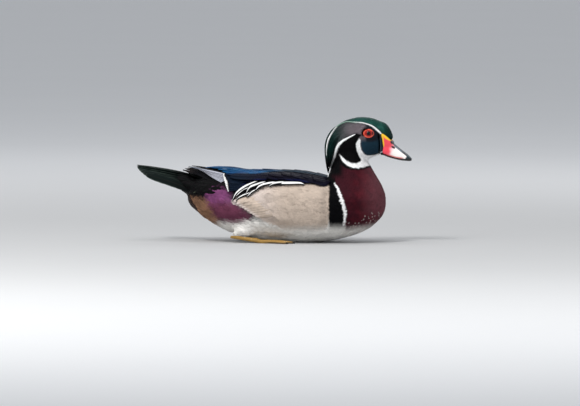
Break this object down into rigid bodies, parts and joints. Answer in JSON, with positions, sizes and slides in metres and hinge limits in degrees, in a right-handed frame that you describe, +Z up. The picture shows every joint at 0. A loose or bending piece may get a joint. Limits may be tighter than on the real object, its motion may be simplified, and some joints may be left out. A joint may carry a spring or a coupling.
{
  "type": "drake wood duck model",
  "caption": "Life-size still drake duck afloat, with swept-back crest, folded wings, fanned tail and feet tucked under a flattened belly.",
  "frame": {"origin": "centre of the bird's bounding box on the floor it rests on", "axes": "+X towards the bill tip, +Y to the bird's left, +Z up; the bird is symmetric about Y = 0"},
  "size_m": [0.3588, 0.1236, 0.1622],
  "materials": {
    "torso": "matt",
    "breast": "satin",
    "head": "silky",
    "crest": "silky",
    "bill": "satin",
    "nail": "satin",
    "eye": "polished",
    "lid": "satin",
    "back": "silky",
    "flank": "matt",
    "tail": "satin",
    "leg": "satin"
  },
  "bodies": {
    "root": {"torso": "torso", "breast": "breast", "neck": "breast", "head": "head", "crest": "crest", "bill_upper": "bill", "bill_nail": "nail", "bill_lower": "nail", "eye_left": "eye", "eye_right": "eye", "lid_left": "lid", "lid_right": "lid", "scapulars_left": "back", "scapulars_right": "back", "wing_left": "back", "wing_right": "back", "flank_left": "flank", "flank_right": "flank", "tail": "tail", "tail_coverts_upper": "tail", "tail_coverts_under": "tail", "thigh_left": "torso", "thigh_right": "torso", "shank_left": "leg", "shank_right": "leg", "foot_left": "leg", "foot_right": "leg"}
  },
  "joints": []
}
